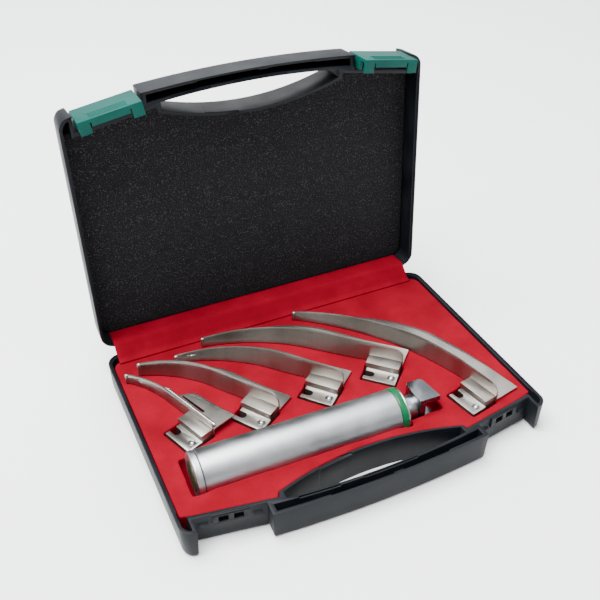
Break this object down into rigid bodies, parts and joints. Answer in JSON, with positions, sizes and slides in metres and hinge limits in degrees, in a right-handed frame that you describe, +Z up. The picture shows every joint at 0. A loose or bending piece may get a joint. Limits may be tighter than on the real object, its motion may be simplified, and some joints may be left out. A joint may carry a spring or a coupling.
{
  "type": "laryngoscope set",
  "caption": "Laryngoscope set in an open hinged case: a knurled battery handle with a hook-on head and curved blades of graded length, lying in foam.",
  "frame": {"origin": "centre of the case's flat underside, which rests on the table", "axes": "+Z up; +X along the lid hinge; +Y towards the hinge at the back; the carrying bar faces -Y"},
  "size_m": [0.228, 0.1977, 0.1861],
  "materials": {
    "black_plastic": "fine moulded grain",
    "green_plastic": "satin moulded",
    "red_felt": "flocked foam",
    "dark_foam": "open-cell foam",
    "pin_steel": "ground",
    "handle_metal": "satin diamond knurl",
    "head_chrome": "satin nickel",
    "cell_jacket": "printed-free jacket",
    "seal_rubber": "smooth",
    "blade_steel": "satin blasted",
    "guide_metal": "satin tube"
  },
  "bodies": {
    "case_body": {"case_base": "black_plastic", "hinge_pin_left": "pin_steel", "hinge_pin_right": "pin_steel", "base_foam": "red_felt", "felt_flap": "red_felt"},
    "lid_body": {"case_lid": "black_plastic", "lid_foam": "dark_foam", "latch_pin_left": "pin_steel", "latch_pin_right": "pin_steel"},
    "latch_left_body": {"latch_left": "green_plastic"},
    "latch_right_body": {"latch_right": "green_plastic"},
    "handle_body": {"handle_tube": "handle_metal", "green_ring": "green_plastic", "head_neck": "head_chrome", "head_block": "head_chrome", "hook_bar": "pin_steel", "plunger_spring": "pin_steel", "battery_front": "cell_jacket", "battery_rear": "cell_jacket", "battery_spring": "pin_steel"},
    "plunger_body": {"light_plunger": "head_chrome"},
    "seal_body": {"cap_seal": "seal_rubber"},
    "cap_body": {"end_cap": "handle_metal", "cap_disc": "green_plastic"},
    "blade_0_body": {"blade_0_spatula": "blade_steel", "blade_0_block": "blade_steel", "blade_0_guide": "guide_metal", "blade_0_ball": "pin_steel"},
    "blade_1_body": {"blade_1_spatula": "blade_steel", "blade_1_block": "blade_steel", "blade_1_guide": "guide_metal", "blade_1_ball": "pin_steel"},
    "blade_2_body": {"blade_2_spatula": "blade_steel", "blade_2_block": "blade_steel", "blade_2_guide": "guide_metal", "blade_2_ball": "pin_steel"},
    "blade_3_body": {"blade_3_spatula": "blade_steel", "blade_3_block": "blade_steel", "blade_3_guide": "guide_metal", "blade_3_ball": "pin_steel"},
    "blade_4_body": {"blade_4_spatula": "blade_steel", "blade_4_block": "blade_steel", "blade_4_guide": "guide_metal", "blade_4_ball": "pin_steel"}
  },
  "joints": [
    {"name": "lid_hinge", "type": "hinge", "parent": "case_body", "child": "lid_body", "pos_m": [0, 0.0785, 0.02], "axis": [-1, 0, 0], "range_deg": [-93.6, 6.4], "deforming": ["felt_flap"]},
    {"name": "latch_left_hinge", "type": "hinge", "parent": "lid_body", "child": "latch_left_body", "pos_m": [-0.08644, 0.10223, 0.17416], "axis": [-0.9877, -0.0098, -0.1561], "range_deg": [0, 74]},
    {"name": "latch_right_hinge", "type": "hinge", "parent": "lid_body", "child": "latch_right_body", "pos_m": [0.08644, 0.10223, 0.17416], "axis": [-0.9877, 0.0098, 0.1561], "range_deg": [0, 74]},
    {"name": "handle_lift", "type": "slide", "parent": "case_body", "child": "handle_body", "axis": [0, 0, 1], "range_m": [0, 0.09]},
    {"name": "plunger_slide", "type": "slide", "parent": "handle_body", "child": "plunger_body", "axis": [-0.9996, 0.0279, 0], "range_m": [0, 0.0012], "stiffness_N_per_m": 600, "springref_m": -0.0005},
    {"name": "cap_travel", "type": "slide", "parent": "handle_body", "child": "seal_body", "axis": [-0.9996, 0.0279, 0], "range_m": [0, 0.003]},
    {"name": "cap_turn", "type": "hinge", "parent": "seal_body", "child": "cap_body", "pos_m": [-0.0963, -0.0405, 0.0177], "axis": [-0.9996, 0.0279, 0], "range_deg": [0, 1083]},
    {"name": "blade_0_lift", "type": "slide", "parent": "case_body", "child": "blade_0_body", "axis": [0, 0, 1], "range_m": [0, 0.06]},
    {"name": "blade_1_lift", "type": "slide", "parent": "case_body", "child": "blade_1_body", "axis": [0, 0, 1], "range_m": [0, 0.06]},
    {"name": "blade_2_lift", "type": "slide", "parent": "case_body", "child": "blade_2_body", "axis": [0, 0, 1], "range_m": [0, 0.06]},
    {"name": "blade_3_lift", "type": "slide", "parent": "case_body", "child": "blade_3_body", "axis": [0, 0, 1], "range_m": [0, 0.06]},
    {"name": "blade_4_lift", "type": "slide", "parent": "case_body", "child": "blade_4_body", "axis": [0, 0, 1], "range_m": [0, 0.06]}
  ],
  "couplings": [
    {"joint": "cap_turn", "follows": "cap_travel", "rad_per_m": 6283.2}
  ]
}
